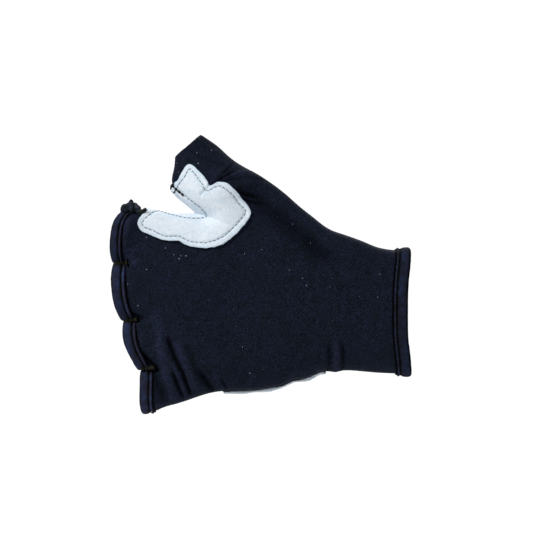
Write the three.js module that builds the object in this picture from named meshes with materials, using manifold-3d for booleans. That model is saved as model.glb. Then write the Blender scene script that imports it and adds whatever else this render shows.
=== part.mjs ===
// Fingerless impact glove for the left hand, in the form it has when worn, with the hand left out.
// Millimetres. The origin is the centre of the wrist opening. +X leaves the opening along the
// forearm, +Z is up towards the thumb, and -Y is the back of the hand.
// The knit is two sheets, back and palm side, over one plan drawn in the X-Z plane. Both are
// quads on the same grid, so walls, bindings and leather are offsets of one surface.
import * as THREE from "three";
import { mergeVertices } from "three/addons/utils/BufferGeometryUtils.js";
import Module from "manifold-3d";

const wasm = await Module();
wasm.setup();

// Overall sizes
const gloveLength = 134;
const wristBreadth = 55.4;
const palmBreadth = 88;
const wristBackDepth = 18;
const wristPalmDepth = 19.5;
const palmBackDepth = 14.5;
const palmPalmDepth = 17;
const fingerHalfDepth = 11;

// Thumb sleeve
const thumbLength = 28.9;
const thumbRootBreadth = 29.5;
const thumbHalfDepth = 13;
const thumbMouthHalfDepth = 9.5;
const thumbAngle = 50; // degrees above the hand's own axis
const thumbShift = 8; // how far its mouth stands towards the palm
const crotchAlong = 92;
const crotchHeight = 43.3;

// Cloth and leather
const wall = 1.2;
const seatGap = 0.3; // clearance between sewn pieces
const bindingWidth = 6;
const bindingThickness = 1;
const leatherThickness = 1.3;
const padThickness = 3.2;
const forkDepth = 1.2; // from a binding's inner edge to the fork between two fingers
const tailLength = 8;
const tailHeight = 4;
const tailDepth = 7;

// Grid
const cellsPerFinger = 6;
const cellsAcrossThumb = 8;
const bodyRows = 14;
const palmRows = 7;
const thumbRows = 6;

const { lerp, smoothstep, degToRad } = THREE.MathUtils;
const proud = seatGap + bindingThickness; // how far a binding stands off the knit
const forkHalfGap = proud + seatGap / 2; // half the slit between two finger sleeves

// Outline tables. along is a share of gloveLength from the wrist, wrist and palm are shares of
// the two breadths, and their sum is the height of the point.
const ulnarEdge = [
  { along: 0, wrist: -0.5, palm: 0 },
  { along: 0.1, wrist: -0.485, palm: 0 },
  { along: 0.21, wrist: -0.464, palm: 0 },
  { along: 0.3, wrist: -0.25, palm: -0.15 },
  { along: 0.373, wrist: -0.1, palm: -0.28 },
  { along: 0.45, wrist: 0, palm: -0.38 },
  { along: 0.55, wrist: 0, palm: -0.394 },
  { along: 0.65, wrist: 0, palm: -0.403 },
  { along: 0.722, wrist: 0, palm: -0.432 },
];
const ulnarFingerEdge = [
  { along: 0.722, wrist: 0, palm: -0.432 },
  { along: 0.78, wrist: 0, palm: -0.464 },
];
const radialEdge = [
  { along: 0, wrist: 0.5, palm: 0 },
  { along: 0.055, wrist: 0.5, palm: 0 },
  { along: 0.105, wrist: 0.52, palm: 0 },
  { along: 0.16, wrist: 0.574, palm: 0 },
  { along: 0.224, wrist: 0.628, palm: 0 },
  { along: 0.276, wrist: 0.45, palm: 0.143 },
  { along: 0.313, wrist: 0.2, palm: 0.345 },
  { along: 0.365, wrist: 0, palm: 0.532 },
  { along: 0.425, wrist: 0, palm: 0.61 },
];
// Where the upper, thumb part of each row starts, from the wrist to the web
const webLine = [
  { along: 0, wrist: 0.2, palm: 0 },
  { along: 0.2, wrist: 0.28, palm: 0 },
  { along: 0.42, wrist: 0, palm: 0.32 },
];
// Lengths along and across the thumb, as shares of its length and root breadth
const thumbFront = [
  { along: 0, across: 0 },
  { along: 0.34, across: -0.055 },
  { along: 0.58, across: -0.085 },
  { along: 0.72, across: -0.035 },
  { along: 0.87, across: 0.12 },
  { along: 1, across: 0.235 },
];
const thumbBack = [
  { along: 0, across: 1 },
  { along: 0.22, across: 0.92 },
  { along: 0.433, across: 0.864 },
  { along: 0.685, across: 0.834 },
  { along: 0.88, across: 0.785 },
  { along: 1, across: 0.735 },
];
// Inner edges of the finger bindings at the five places between and beside the fingers
const knuckleLine = [
  { along: 0.853, palm: -0.496 },
  { along: 0.856, palm: -0.297 },
  { along: 0.916, palm: -0.045 },
  { along: 0.947, palm: 0.25 },
  { along: 0.926, palm: 0.496 },
];
const fingers = [
  { name: "little", bulge: 0.5 },
  { name: "ring", bulge: 2.5 },
  { name: "middle", bulge: 2.2 },
  { name: "index", bulge: 2.2 },
];
// How the depth changes along the hand: shares of the wrist's depth and of the palm's depth
const depthTable = [
  { along: 0, wrist: 1, palm: 0 },
  { along: 0.2, wrist: 0.75, palm: 0.27 },
  { along: 0.4, wrist: 0.3, palm: 0.78 },
  { along: 0.62, wrist: 0, palm: 1.03 },
  { along: 0.8, wrist: 0, palm: 0.92 },
  { along: 1, wrist: 0, palm: 0.82 },
];
// Soft folds on the back: ends as shares of the length and the palm's breadth from the origin,
// width and rise as shares of foldWidth and foldRise. A negative rise is a valley.
const foldWidth = 5;
const foldRise = 1.4;
const foldFade = 0.2; // share of a fold's length over which each end fades
const foldOnset = 1.2; // how fast folds start from the outline
const backFolds = [
  { along0: 0.84, height0: -0.14, along1: 0.69, height1: -0.38, width: 1, rise: 0.8 },
  { along0: 0.81, height0: -0.1, along1: 0.63, height1: -0.36, width: 0.8, rise: -0.8 },
  { along0: 0.78, height0: -0.06, along1: 0.57, height1: -0.36, width: 1, rise: 0.8 },
  { along0: 0.72, height0: 0.6, along1: 0.5, height1: 0.66, width: 0.8, rise: 0.7 },
  { along0: 0.68, height0: 0.64, along1: 0.47, height1: 0.56, width: 0.8, rise: -0.9 },
  { along0: 0.57, height0: 0.5, along1: 0.46, height1: 0.4, width: 1, rise: -0.7 },
  { along0: 0.265, height0: -0.13, along1: 0.25, height1: -0.27, width: 0.8, rise: 0.8 },
];

// Leather outlines, as shares of the length and of the palm's breadth
const webOutline = [
  [0.742, 0.745], [0.775, 0.685], [0.785, 0.645], [0.79, 0.62], [0.82, 0.59],
  [0.88, 0.56], [0.89, 0.51], [0.904, 0.487], [0.907, 0.455], [0.9, 0.42], [0.875, 0.395],
  [0.83, 0.37], [0.787, 0.366], [0.752, 0.343], [0.71, 0.332], [0.668, 0.328], [0.63, 0.346],
  [0.583, 0.387], [0.556, 0.44], [0.533, 0.48], [0.53, 0.516], [0.54, 0.551], [0.559, 0.58],
  [0.574, 0.622], [0.597, 0.654], [0.62, 0.666], [0.645, 0.66], [0.666, 0.645], [0.679, 0.669],
  [0.69, 0.698], [0.713, 0.736],
];
const palmOutline = [
  [0.79, 0.67], [0.83, 0.62], [0.88, 0.58], [0.905, 0.47], [0.885, 0.3],
  [0.85, 0.05], [0.8, -0.2], [0.74, -0.33], [0.66, -0.385], [0.62, -0.42], [0.605, -0.55], [0.5, -0.55],
  [0.4, -0.52], [0.33, -0.42], [0.285, -0.33], [0.25, -0.2], [0.24, 0], [0.27, 0.2],
  [0.34, 0.36], [0.44, 0.48], [0.56, 0.6], [0.68, 0.72], [0.75, 0.76],
];

// Points and curves of the plan. A plan point's x is -along and its y is the height Z.
const planPoint = ({ along, wrist = 0, palm = 0 }) =>
  new THREE.Vector2(-along * gloveLength, wrist * wristBreadth + palm * palmBreadth);
const crotch = new THREE.Vector2(-crotchAlong, crotchHeight);
const thumbAxis = new THREE.Vector2(-Math.cos(degToRad(thumbAngle)), Math.sin(degToRad(thumbAngle)));
const thumbAcross = new THREE.Vector2(thumbAxis.y, -thumbAxis.x);
const thumbPoint = ({ along, across }) =>
  crotch.clone()
    .addScaledVector(thumbAxis, along * thumbLength)
    .addScaledVector(thumbAcross, across * thumbRootBreadth);

const ulnarCurve = new THREE.SplineCurve(ulnarEdge.map(planPoint));
const radialCurve = new THREE.SplineCurve([...radialEdge.map(planPoint), thumbPoint(thumbBack[0])]);
const webCurve = new THREE.SplineCurve([...webLine.map(planPoint), crotch]);
const thumbFrontCurve = new THREE.SplineCurve(thumbFront.map(thumbPoint));
const thumbBackCurve = new THREE.SplineCurve(thumbBack.map(thumbPoint));
const knuckles = knuckleLine.map(planPoint);
const forks = knuckles.map((p) => new THREE.Vector2(p.x + forkDepth, p.y));
const ulnarFingerCurve = new THREE.SplineCurve([...ulnarFingerEdge.map(planPoint), forks[0]]);
const indexCurve = new THREE.SplineCurve([
  crotch,
  new THREE.Vector2(lerp(crotch.x, forks[4].x, 0.5), lerp(crotch.y, forks[4].y, 0.5)),
  forks[4],
]);

// u from 0 to 1 with the cells crowded towards the start by a and towards the end by b
function crowd(u, a, b) {
  const atStart = u * (1 - u) ** 2;
  const atEnd = u ** 2 * (u - 1);
  return atStart * (1 - a) + u ** 2 * (3 - 2 * u) + atEnd * (1 - b);
}
const endCrowding = 0.7;

// Thickness profile across a strip: 0 at both edges and 1 in the middle
const squareness = { palm: 2.7, round: 2 };
const profile = (w, power) => Math.max(0, 1 - Math.abs(2 * w - 1) ** power) ** (1 / power);
// 0 at a fork and 1 from reach onwards, round like the edge of a web
const openUp = (distance, reach) => Math.sqrt(1 - (1 - Math.min(distance / reach, 1)) ** 2);
const crotchReach = 22;
const forkReach = 10;
const crowdingReach = 33; // round the crotch, where the cells of a row crowd together
const thumbStart = 0.2; // share of the body's rows before the thumb's own depth sets in
const thumbBlend = 0.6; // share of the thumb's breadth over which its own depth takes over

function depthsAt(x) {
  const along = Math.min(Math.max(-x / gloveLength, 0), 0.9999);
  const i = depthTable.findIndex((row, k) => k > 0 && along < row.along);
  const [a, b] = [depthTable[i - 1], depthTable[i]];
  const t = smoothstep(along, a.along, b.along);
  const wrist = lerp(a.wrist, b.wrist, t);
  const palm = lerp(a.palm, b.palm, t);
  return {
    back: wrist * wristBackDepth + palm * palmBackDepth,
    palm: wrist * wristPalmDepth + palm * palmPalmDepth,
  };
}

function foldAt(x, z) {
  let rise = 0;
  for (const f of backFolds) {
    const start = new THREE.Vector2(-f.along0 * gloveLength, f.height0 * palmBreadth);
    const run = new THREE.Vector2(-f.along1 * gloveLength, f.height1 * palmBreadth).sub(start);
    const to = new THREE.Vector2(x, z).sub(start);
    const t = to.dot(run) / run.lengthSq();
    const off = to.cross(run) / run.length() / (f.width * foldWidth);
    const ends = smoothstep(t, -foldFade, foldFade) * (1 - smoothstep(t, 1 - foldFade, 1 + foldFade));
    rise += f.rise * foldRise * ends * Math.exp(-off * off);
  }
  return rise;
}

// A plan vertex with its two surface points, which are one point on the outline, where the
// thickness is 0
function vertex(plan, thickness, back, palm, shift) {
  if (thickness < 1e-4) {
    const edge = new THREE.Vector3(plan.x, shift, plan.y);
    return { back: edge, palm: edge };
  }
  const lift = foldAt(plan.x, plan.y) * Math.min(1, thickness * foldOnset);
  return {
    back: new THREE.Vector3(plan.x, shift - back * thickness - lift, plan.y),
    palm: new THREE.Vector3(plan.x, shift + palm * thickness, plan.y),
  };
}

const fingerCells = fingers.length * cellsPerFinger;

// Body rows, wrist to crotch: each runs from the ulnar edge to the web line to the radial edge
function bodyRow(q) {
  const share = (curve) => {
    const ratio = ulnarCurve.getLength() / curve.getLength();
    return Math.min(1, q * (ratio - (ratio - 1) * q));
  };
  const low = ulnarCurve.getPointAt(q);
  const web = webCurve.getPointAt(share(webCurve));
  const high = radialCurve.getPointAt(share(radialCurve));
  const lowLength = low.distanceTo(web);
  const total = lowLength + web.distanceTo(high);
  const opened = openUp(web.distanceTo(crotch), crotchReach);
  const pinch = 1 - smoothstep(web.distanceTo(crotch), 0, crowdingReach);
  const row = [];
  for (let j = 0; j <= fingerCells + cellsAcrossThumb; j++) {
    const inThumb = j > fingerCells;
    const u = inThumb
      ? crowd((j - fingerCells) / cellsAcrossThumb, endCrowding * pinch, endCrowding)
      : crowd(j / fingerCells, endCrowding, endCrowding * pinch);
    const plan = inThumb ? web.clone().lerp(high, u) : low.clone().lerp(web, u);
    const across = inThumb ? lowLength + u * (total - lowLength) : u * lowLength;
    const whole = profile(across / total, squareness.palm);
    const split = profile(u, inThumb ? squareness.round : squareness.palm);
    const depth = depthsAt(plan.x);
    const thumbShare = inThumb ? smoothstep(u, 0, thumbBlend) * smoothstep(q, thumbStart, 1) : 0;
    row.push(vertex(
      plan,
      lerp(split, whole, opened),
      lerp(depth.back, thumbHalfDepth, thumbShare),
      lerp(depth.palm, thumbHalfDepth, thumbShare),
      0,
    ));
  }
  return row;
}

const fingerOf = (j) => Math.min(Math.floor(j / cellsPerFinger), fingers.length - 1);
const crowdedAcross = (u) => crowd(u, endCrowding, endCrowding);

// A point across one finger, at a distance out from its fork
function fingerVertex(f, u, out) {
  const slit = forkHalfGap * Math.sqrt(Math.min(1, out / forkDepth));
  const low = forks[f].clone();
  const high = forks[f + 1].clone();
  low.x -= out;
  high.x -= out;
  if (f > 0) low.y += slit;
  if (f < fingers.length - 1) high.y -= slit;
  const plan = low.lerp(high, crowdedAcross(u));
  plan.x -= fingers[f].bulge * 4 * u * (1 - u);
  return vertex(plan, profile(crowdedAcross(u), squareness.round), fingerHalfDepth, fingerHalfDepth, 0);
}

// Rows from the crotch to the forks, t from 0 to 1. Rows that meet share their vertices.
const lastBody = bodyRow(1);
function palmRow(t) {
  if (t === 0) return lastBody.slice(0, fingerCells + 1);
  const low = ulnarFingerCurve.getPointAt(t);
  const high = indexCurve.getPointAt(t);
  const row = [];
  for (let j = 0; j <= fingerCells; j++) {
    const f = fingerOf(j);
    const u = j / cellsPerFinger - f;
    const fork = fingerVertex(f, u, 0);
    const start = lastBody[j].back;
    const plan = new THREE.Vector2(lerp(start.x, fork.back.x, t), lerp(start.z, fork.back.z, t));
    const opened = openUp(Math.abs(fork.back.x - plan.x), forkReach);
    if (j === 0) plan.copy(low);
    if (j === fingerCells) plan.copy(high);
    const whole = profile(crowd(j / fingerCells, endCrowding, endCrowding), squareness.palm);
    const split = profile(crowdedAcross(u), squareness.round);
    const depth = depthsAt(plan.x);
    row.push(vertex(
      plan,
      lerp(split, whole, opened),
      lerp(depth.back, fingerHalfDepth, t * t),
      lerp(depth.palm, fingerHalfDepth, t * t),
      0,
    ));
  }
  return row;
}

// Rows along the thumb sleeve, v from 0 at the crotch to 1 at its mouth
function thumbRow(v) {
  if (v === 0) return lastBody.slice(fingerCells);
  const front = thumbFrontCurve.getPointAt(v);
  const back = thumbBackCurve.getPointAt(v);
  const sleeveDepth = lerp(thumbHalfDepth, thumbMouthHalfDepth, v);
  const row = [];
  for (let k = 0; k <= cellsAcrossThumb; k++) {
    const u = crowdedAcross(k / cellsAcrossThumb);
    const plan = front.clone().lerp(back, u);
    const depth = depthsAt(plan.x);
    const thumbShare = lerp(smoothstep(u, 0, thumbBlend), 1, v);
    row.push(vertex(
      plan,
      profile(u, squareness.round),
      lerp(depth.back, sleeveDepth, thumbShare),
      lerp(depth.palm, sleeveDepth, thumbShare),
      thumbShift * smoothstep(v, 0, 1),
    ));
  }
  return row;
}

// The surface's quads, each with its zone, so that a piece can take the ones it needs
const quads = [];
function addRows(rows, zones) {
  for (let i = 0; i + 1 < rows.length; i++) {
    for (let j = 0; j + 1 < rows[i].length; j++) {
      const [a, b, c, d] = [rows[i][j], rows[i + 1][j], rows[i + 1][j + 1], rows[i][j + 1]];
      quads.push({ zone: zones[i], side: "back", corners: [d.back, c.back, b.back, a.back] });
      quads.push({ zone: zones[i], side: "palm", corners: [a.palm, b.palm, c.palm, d.palm] });
    }
  }
}

// A bound edge has rows for the binding's lip, the clearance round the knit's edge, the knit's
// edge and the binding's inner edge, as distances from the lip.
const boundEdge = [
  { from: 0, zone: "lip" },
  { from: bindingThickness, zone: "clearance" },
  { from: bindingThickness + seatGap, zone: "bound" },
];
const wristLead = 3;
const bodyLength = ulnarCurve.getLength();
const wristRows = [...boundEdge.map((row) => row.from), bindingWidth].map((from) => from / bodyLength);
const firstPlain = (bindingWidth + wristLead) / bodyLength;
const plainRows = Array.from({ length: bodyRows + 1 }, (_, i) => lerp(firstPlain, 1, i / bodyRows));
addRows(
  [...[...wristRows, ...plainRows.slice(0, -1)].map(bodyRow), lastBody],
  [...boundEdge.map((row) => "wrist_" + row.zone), "body", ...Array(bodyRows).fill("body")],
);
const palmGrid = Array.from({ length: palmRows + 1 }, (_, i) => palmRow(crowd(i / palmRows, 0, endCrowding)));
addRows(palmGrid, Array(palmRows).fill("body"));
addRows(
  Array.from({ length: thumbRows + 1 }, (_, i) => thumbRow(i / thumbRows)),
  Array(thumbRows).fill("body"),
);
const sleeveLength = forkDepth + bindingWidth;
fingers.forEach((finger, f) => {
  const fromLip = [bindingWidth, ...boundEdge.map((row) => row.from).reverse()];
  const rows = fromLip.map((from) =>
    Array.from({ length: cellsPerFinger + 1 }, (_, k) =>
      fingerVertex(f, k / cellsPerFinger, sleeveLength - from)),
  );
  const first = palmGrid[palmRows].slice(f * cellsPerFinger, (f + 1) * cellsPerFinger + 1);
  addRows([first, ...rows], ["sleeve", ...boundEdge.map((row) => finger.name + "_" + row.zone).reverse()]);
});

// One smooth normal at each point of the whole surface
const normals = new Map();
for (const { corners } of quads) {
  const [a, b, c, d] = corners;
  const turn = c.clone().sub(a).cross(d.clone().sub(b));
  for (const p of corners) {
    if (!normals.has(p)) normals.set(p, new THREE.Vector3());
    normals.get(p).add(turn);
  }
}
for (const n of normals.values()) n.normalize();

function solidOf(positions, triangles) {
  return new wasm.Manifold(new wasm.Mesh({
    numProp: 3,
    vertProperties: new Float32Array(positions),
    triVerts: new Uint32Array(triangles),
  }));
}

// The solid between two offsets of some quads, moved by shift towards the palm. outer is a number
// or a function of the point.
function thicken(chosen, outer, inner, shift = 0) {
  const outerAt = typeof outer === "number" ? () => outer : outer;
  const positions = [];
  const triangles = [];
  const pairs = new Map(); // each point's two offset corners, by index
  const face = (a, b, c, d) => triangles.push(a, b, c, a, c, d);
  const pairOf = (p) => {
    if (!pairs.has(p)) {
      const index = positions.length / 3;
      for (const distance of [outerAt(p), inner]) {
        const at = p.clone().addScaledVector(normals.get(p), distance);
        positions.push(at.x, at.y + shift, at.z);
      }
      pairs.set(p, { outer: index, inner: index + 1 });
    }
    return pairs.get(p);
  };
  const open = new Map();
  for (const { corners } of chosen) {
    const [a, b, c, d] = corners.map(pairOf);
    face(a.outer, b.outer, c.outer, d.outer);
    face(d.inner, c.inner, b.inner, a.inner);
    for (const [from, to] of [[a, b], [b, c], [c, d], [d, a]]) {
      const back = to.outer + ">" + from.outer;
      if (open.has(back)) open.delete(back);
      else open.set(from.outer + ">" + to.outer, [from, to]);
    }
  }
  for (const [from, to] of open.values()) face(from.inner, to.inner, to.outer, from.outer);
  return solidOf(positions, triangles);
}

function solidOfGeometry(geometry) {
  geometry.deleteAttribute("normal");
  geometry.deleteAttribute("uv");
  const merged = mergeVertices(geometry, 1e-4);
  return solidOf(merged.attributes.position.array, merged.index.array);
}

// An upright cutter through the whole glove, from an outline in shares
function cutter(outline) {
  const pointOf = ([along, height]) => new THREE.Vector2(along * gloveLength, height * palmBreadth);
  const shape = new THREE.Shape(outline.map(pointOf));
  const deep = 4 * wristPalmDepth;
  const geometry = new THREE.ExtrudeGeometry(shape, { depth: deep, bevelEnabled: false });
  geometry.translate(0, 0, -deep / 2);
  geometry.rotateX(Math.PI / 2); // shape x, y become X, Z
  geometry.rotateZ(Math.PI); // along runs towards -X
  return solidOfGeometry(geometry);
}

const glove = new THREE.Group();
function addPiece(name, solid, color, roughness) {
  const mesh = solid.getMesh();
  const geometry = new THREE.BufferGeometry();
  geometry.setAttribute("position", new THREE.Float32BufferAttribute(mesh.vertProperties, 3));
  geometry.setIndex(new THREE.BufferAttribute(mesh.triVerts, 1));
  const piece = new THREE.Mesh(geometry, new THREE.MeshStandardMaterial({ color, roughness, metalness: 0 }));
  piece.name = name;
  glove.add(piece);
}
const knitBlack = 0x12141d;
const bindingNavy = 0x1b2140;
const suedeWhite = 0xdfe7ef;

// The knit, with its mouths open: the hand, and the thumb sleeve that is sewn on along the last
// row of the body, with a gap in place of the seam
const inKnit = (quad) => !/_(lip|clearance)$/.test(quad.zone);
const knitQuads = quads.filter(inKnit);
const knit = thicken(knitQuads, 0, -wall);
const intoThumbGap = new THREE.Vector2(-12, 6); // from the crotch, clear of thumb and index finger
const pastThumb = 60;
function thumbSide(clear) {
  const [start, end] = [lastBody[fingerCells], lastBody.at(-1)].map(({ back }) => new THREE.Vector2(back.x, back.z));
  const run = end.clone().sub(start);
  const out = new THREE.Vector2(-run.y, run.x).normalize();
  const low = start.clone().addScaledVector(out, clear);
  const high = end.clone().add(run).addScaledVector(out, clear);
  const gap = low.clone().add(intoThumbGap);
  const far = [high, gap].map((p) => p.clone().addScaledVector(out, pastThumb));
  return cutter([low, high, ...far, gap].map((p) => [-p.x / gloveLength, p.y / palmBreadth]));
}
addPiece("knit_shell", knit.subtract(thumbSide(-seatGap / 2)), knitBlack, 0.85);
addPiece("thumb_sleeve", knit.intersect(thumbSide(seatGap / 2)), knitBlack, 0.85);

// Bindings are folded over the edges of the knit
function binding(edgeName) {
  const inside = -wall - seatGap;
  const bound = quads.filter((quad) => quad.zone.startsWith(edgeName + "_"));
  const core = quads.filter((quad) =>
    quad.zone === edgeName + "_bound" || quad.zone === edgeName + "_clearance" ||
    quad.zone === "sleeve" || quad.zone === "body");
  return thicken(bound, proud, inside - bindingThickness).subtract(thicken(core, seatGap, inside));
}
for (const edgeName of ["wrist", ...fingers.map((finger) => finger.name)]) {
  addPiece(edgeName + "_binding", binding(edgeName), bindingNavy, 0.7);
}

// Suede on the back, round the web of the thumb
const backQuads = knitQuads.filter((quad) => quad.side === "back");
const palmQuads = knitQuads.filter((quad) => quad.side === "palm");
const leatherOuter = seatGap + leatherThickness;
const knitAndGap = thicken(knitQuads, seatGap, -wall);
const leather = (chosen, outer, outline) =>
  thicken(chosen, outer, 0).intersect(cutter(outline)).subtract(knitAndGap);
addPiece("web_patch", leather(backQuads, leatherOuter, webOutline), suedeWhite, 0.9);

// Suede palm, raised over its padding, with a gap to the web patch along the edge of the hand
const padCentre = { along: 0.55, height: 0.02 };
const padReach = { along: 0.3, height: 0.42 };
const padTop = 0.6; // share of its reach at which the padding starts to fall
function padRise(p) {
  const a = (-p.x / gloveLength - padCentre.along) / padReach.along;
  const h = (p.z / palmBreadth - padCentre.height) / padReach.height;
  return leatherOuter + padThickness * (1 - smoothstep(Math.hypot(a, h), padTop, 1));
}
const pastLeather = 3 * leatherOuter;
const besideBack = thicken(backQuads, pastLeather, 0, seatGap);
const palmLeather = leather(palmQuads, padRise, palmOutline).subtract(besideBack);
addPiece("palm_patch", palmLeather, suedeWhite, 0.9);

// The bunched end of the finger bindings, on top of the index binding
const tailLumps = 3;
const lumpRise = 0.14;
const tailCentre = knuckles[4].clone().add(new THREE.Vector2(0, proud + tailHeight / 3));
const tailGeometry = new THREE.SphereGeometry(1, 12, 8);
const tailPoints = tailGeometry.attributes.position;
for (let i = 0; i < tailPoints.count; i++) {
  const p = new THREE.Vector3().fromBufferAttribute(tailPoints, i);
  const lump = 1 + lumpRise * Math.sin(tailLumps * (p.x * 2 + p.z)) * Math.cos(tailLumps * p.y);
  tailPoints.setXYZ(
    i,
    tailCentre.x + p.x * lump * tailLength / 2,
    p.y * lump * tailDepth / 2,
    tailCentre.y + p.z * lump * tailHeight,
  );
}
const indexQuads = quads.filter((quad) => /^(index|sleeve|body)/.test(quad.zone));
const underTail = thicken(indexQuads, proud + seatGap, -tailHeight);
addPiece("binding_tail", solidOfGeometry(tailGeometry).subtract(underTail), bindingNavy, 0.7);

export default glove;
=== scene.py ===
import math
import random

import bpy
from mathutils import Matrix, Vector, kdtree, noise


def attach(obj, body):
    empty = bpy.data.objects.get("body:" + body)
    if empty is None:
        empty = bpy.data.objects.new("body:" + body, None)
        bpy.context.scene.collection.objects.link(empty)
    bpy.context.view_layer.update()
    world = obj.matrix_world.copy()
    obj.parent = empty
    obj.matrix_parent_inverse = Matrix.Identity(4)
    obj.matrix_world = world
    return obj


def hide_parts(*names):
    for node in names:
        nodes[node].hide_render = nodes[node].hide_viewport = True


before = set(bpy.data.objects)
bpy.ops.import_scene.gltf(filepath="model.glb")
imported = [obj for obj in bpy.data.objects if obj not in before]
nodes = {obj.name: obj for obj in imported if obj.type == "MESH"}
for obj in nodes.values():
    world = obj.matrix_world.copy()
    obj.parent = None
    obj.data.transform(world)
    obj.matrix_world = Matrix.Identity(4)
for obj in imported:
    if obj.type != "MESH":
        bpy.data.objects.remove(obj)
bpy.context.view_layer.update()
mm = 0.001
random.seed(7)


# Places on the glove: how far along from the wrist and how high above its middle, in mm
def spot(along, height, depth=0.0):
    return Vector((-along * mm, depth * mm, height * mm))


def activate(piece):
    bpy.ops.object.select_all(action="DESELECT")
    piece.select_set(True)
    bpy.context.view_layer.objects.active = piece


def enterEdit():
    bpy.ops.object.mode_set(mode="EDIT")


def leaveEdit():
    bpy.ops.object.mode_set(mode="OBJECT")


def editAll(piece, kind="FACE"):
    activate(piece)
    enterEdit()
    bpy.ops.mesh.select_mode(type=kind)
    bpy.ops.mesh.select_all(action="SELECT")


def clearSelection(piece, kind="FACE"):
    editAll(piece, kind)
    bpy.ops.mesh.select_all(action="DESELECT")
    leaveEdit()


def applyModifier(piece, kind, **values):
    modifier = piece.modifiers.new(kind.lower(), kind)
    for key, value in values.items():
        setattr(modifier, key, value)
    activate(piece)
    bpy.ops.object.modifier_apply(modifier=modifier.name)


def keepFaces(piece, wanted):
    clearSelection(piece)
    for face in piece.data.polygons:
        face.select = not wanted(face)
    enterEdit()
    bpy.ops.mesh.delete(type="FACE")
    leaveEdit()


def copyOf(piece, name):
    twin = piece.copy()
    twin.data = piece.data.copy()
    twin.name = name
    bpy.context.scene.collection.objects.link(twin)
    return twin


def joinAll(pieces):
    bpy.ops.object.select_all(action="DESELECT")
    for piece in pieces:
        piece.select_set(True)
    bpy.context.view_layer.objects.active = pieces[0]
    bpy.ops.object.join()
    return pieces[0]


def remesh(piece, voxel):
    piece.data.remesh_voxel_size = voxel * mm
    activate(piece)
    bpy.ops.object.voxel_remesh()


def moveAlongNormals(piece, riseAt):
    normals = [vertex.normal.copy() for vertex in piece.data.vertices]
    for vertex, normal in zip(piece.data.vertices, normals):
        vertex.co += normal * riseAt(vertex.co, normal)
    piece.data.update()


# Evenly spaced points on a soft curve through the given ones
def softCurve(points, spacing, closed=True):
    count = len(points)
    finer = 12  # points to each stretch before they are evened
    fine = []
    for i in range(count if closed else count - 1):
        near = [(i + k) % count if closed else min(max(i + k, 0), count - 1) for k in (-1, 0, 1, 2)]
        a, b, c, d = (Vector(points[k]) for k in near)
        for step in range(finer):
            t = step / finer
            fine.append(0.5 * (2 * b + (c - a) * t + (2 * a - 5 * b + 4 * c - d) * t**2
                               + (3 * b - a - 3 * c + d) * t**3))
    fine.append(fine[0].copy() if closed else Vector(points[-1]))
    lengths = [0.0]
    for before, here in zip(fine, fine[1:]):
        lengths.append(lengths[-1] + (here - before).length)
    steps = max(3, round(lengths[-1] / spacing))
    evened = []
    at = 0
    for i in range(steps + (0 if closed else 1)):
        want = lengths[-1] * i / steps
        while at < len(lengths) - 2 and lengths[at + 1] < want:
            at += 1
        share = (want - lengths[at]) / max(lengths[at + 1] - lengths[at], 1e-9)
        evened.append(fine[at].lerp(fine[at + 1], share))
    return evened


def smoothStep(value, low, high):
    t = min(max((value - low) / (high - low), 0.0), 1.0)
    return t * t * (3 - 2 * t)


# The same over a run (low, high) that is counted from a start
def smoothOver(value, run, start=0.0):
    return smoothStep(value, start + run[0], start + run[1])


# Uneven cloth or leather: each layer is its height and the size of its lumps, in mm
def uneven(place, layers):
    return sum(amount * noise.noise(place / (size * mm)) for amount, size in layers)


# Materials

def newMaterial(name, roughness, specular=0.5):
    material = bpy.data.materials.new(name)
    material.use_nodes = True
    shader = material.node_tree.nodes["Principled BSDF"]
    shader.inputs["Roughness"].default_value = roughness
    shader.inputs["Specular IOR Level"].default_value = specular
    return material, shader


def addNode(material, kind, **values):
    made = material.node_tree.nodes.new(kind)
    for key, value in values.items():
        if key in made.inputs:
            made.inputs[key].default_value = value
        else:
            setattr(made, key, value)
    return made


def join(material, fromSocket, toSocket):
    material.node_tree.links.new(fromSocket, toSocket)


def colourRamp(material, factor, stops):
    ramp = addNode(material, "ShaderNodeValToRGB")
    while len(ramp.color_ramp.elements) < len(stops):
        ramp.color_ramp.elements.new(1.0)
    for element, (place, colour) in zip(ramp.color_ramp.elements, stops):
        element.position = place
        element.color = (*colour, 1.0)
    join(material, factor, ramp.inputs["Fac"])
    return ramp.outputs["Color"]


def addBump(material, shader, height, distance, strength=1.0, under=None):
    bump = addNode(material, "ShaderNodeBump", Strength=strength, Distance=distance * mm)
    join(material, height, bump.inputs["Height"])
    if under:
        join(material, under, bump.inputs["Normal"])
    join(material, bump.outputs["Normal"], shader.inputs["Normal"])
    return bump.outputs["Normal"]


def multiplied(material, first, second, share=1.0):
    mix = addNode(material, "ShaderNodeMix", data_type="RGBA", blend_type="MULTIPLY")
    mix.inputs[0].default_value = share
    join(material, first, mix.inputs[6])
    join(material, second, mix.inputs[7])
    return mix.outputs[2]


def objectPlace(material, turn, stretch=(1, 1, 1)):
    place = addNode(material, "ShaderNodeTexCoord")
    mapping = addNode(material, "ShaderNodeMapping", Scale=stretch)
    mapping.inputs["Rotation"].default_value = [math.radians(angle) for angle in turn]
    join(material, place.outputs["Object"], mapping.inputs["Vector"])
    return mapping.outputs["Vector"]


def objectNoise(material, size, detail=3.0, stretch=(1, 1, 1), turn=(0, 0, 0)):
    made = addNode(material, "ShaderNodeTexNoise", Scale=1 / (size * mm), Detail=detail)
    join(material, objectPlace(material, turn, stretch), made.inputs["Vector"])
    return made.outputs["Fac"]


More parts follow.
